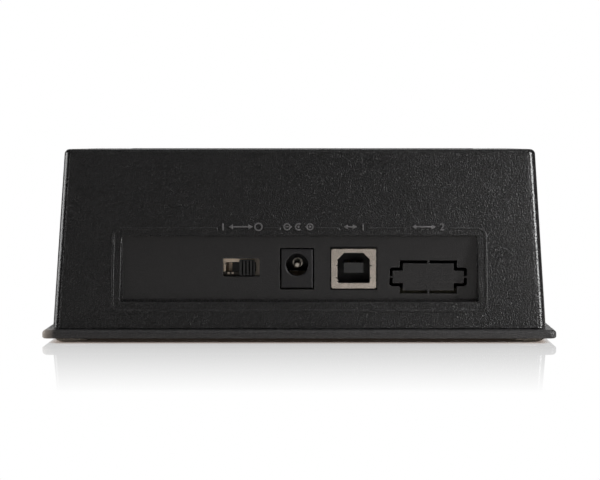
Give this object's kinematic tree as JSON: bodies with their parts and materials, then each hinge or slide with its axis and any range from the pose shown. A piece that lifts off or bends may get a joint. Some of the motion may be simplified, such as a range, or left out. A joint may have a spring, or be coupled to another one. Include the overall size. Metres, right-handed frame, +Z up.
{
  "type": "hard drive docking station",
  "caption": "Tapered black desktop dock for a bare hard drive: sprung dust flap over a guide bay, receptacle inside, and switch, power jack and data socket at the back.",
  "frame": {"origin": "on the table, under the middle of the base plate's outline", "axes": "+X along the long side, to the right as seen from the front; +Y towards the back with the sockets; +Z up, the way a drive is pulled out"},
  "size_m": [0.1382, 0.0794, 0.0518],
  "materials": {
    "case_plastic": "black, coarse spark-eroded moulding texture",
    "frame_plastic": "black, plain moulded",
    "flap_plastic": "black, fine moulding texture",
    "foot_rubber": "dull black",
    "case_screw_steel": "black zinc",
    "screw_steel": "zinc plated",
    "pin_steel": "ground",
    "spring_steel": "drawn wire",
    "board_laminate": "green solder mask",
    "receptacle_plastic": "black glass filled",
    "contact_gold": "gold plated",
    "socket_steel": "warm nickel plate",
    "socket_insert_plastic": "black, satin",
    "jack_plastic": "black, smooth",
    "jack_nickel": "nickel plated",
    "jack_spring_brass": "copper alloy",
    "switch_steel": "dark bronze plate",
    "switch_laminate": "brown laminate",
    "knob_plastic": "black, satin",
    "chip_plastic": "black moulding compound",
    "can_aluminium": "satin can",
    "ferrite": "grey ferrite",
    "crystal_steel": "drawn can",
    "lamp_plastic": "clear epoxy",
    "lead_tin": "tinned wire",
    "pipe_plastic": "clear moulded"
  },
  "bodies": {
    "case": {"upper_housing": "case_plastic", "base_plate": "case_plastic", "foot_front_left": "foot_rubber", "foot_front_right": "foot_rubber", "foot_rear_left": "foot_rubber", "foot_rear_right": "foot_rubber", "case_screws": "case_screw_steel", "board_screws": "screw_steel", "bay_frame_screws": "screw_steel", "drive_bay_frame": "frame_plastic", "flap_hinge_pin": "pin_steel", "flap_spring": "spring_steel", "main_board": "board_laminate", "sata_receptacle": "receptacle_plastic", "sata_contacts": "contact_gold", "usb_shell": "socket_steel", "usb_insert": "socket_insert_plastic", "usb_contacts": "contact_gold", "power_jack_housing": "jack_plastic", "power_jack_pin": "jack_nickel", "power_jack_spring": "jack_spring_brass", "switch_frame": "switch_steel", "switch_base": "switch_laminate", "switch_terminals": "contact_gold", "bridge_chip": "chip_plastic", "crystal": "crystal_steel", "filter_capacitors": "can_aluminium", "power_inductor": "ferrite", "voltage_regulator": "chip_plastic", "status_lamp": "lamp_plastic", "status_lamp_leads": "lead_tin", "light_pipe": "pipe_plastic"},
    "flap": {"dust_flap": "flap_plastic"},
    "knob": {"switch_slider": "knob_plastic", "switch_knob": "knob_plastic", "switch_contact": "contact_gold"}
  },
  "joints": [
    {"name": "flap_hinge", "type": "hinge", "parent": "case", "child": "flap", "pos_m": [0, -0.01698, 0.04835], "axis": [-1, 0, 0], "range_deg": [0, 88], "stiffness_Nm_per_rad": 0.004, "springref_deg": -34.38, "deforming": ["flap_spring"]},
    {"name": "switch_slide", "type": "slide", "parent": "case", "child": "knob", "axis": [1, 0, 0], "range_m": [0, 0.0031]}
  ]
}
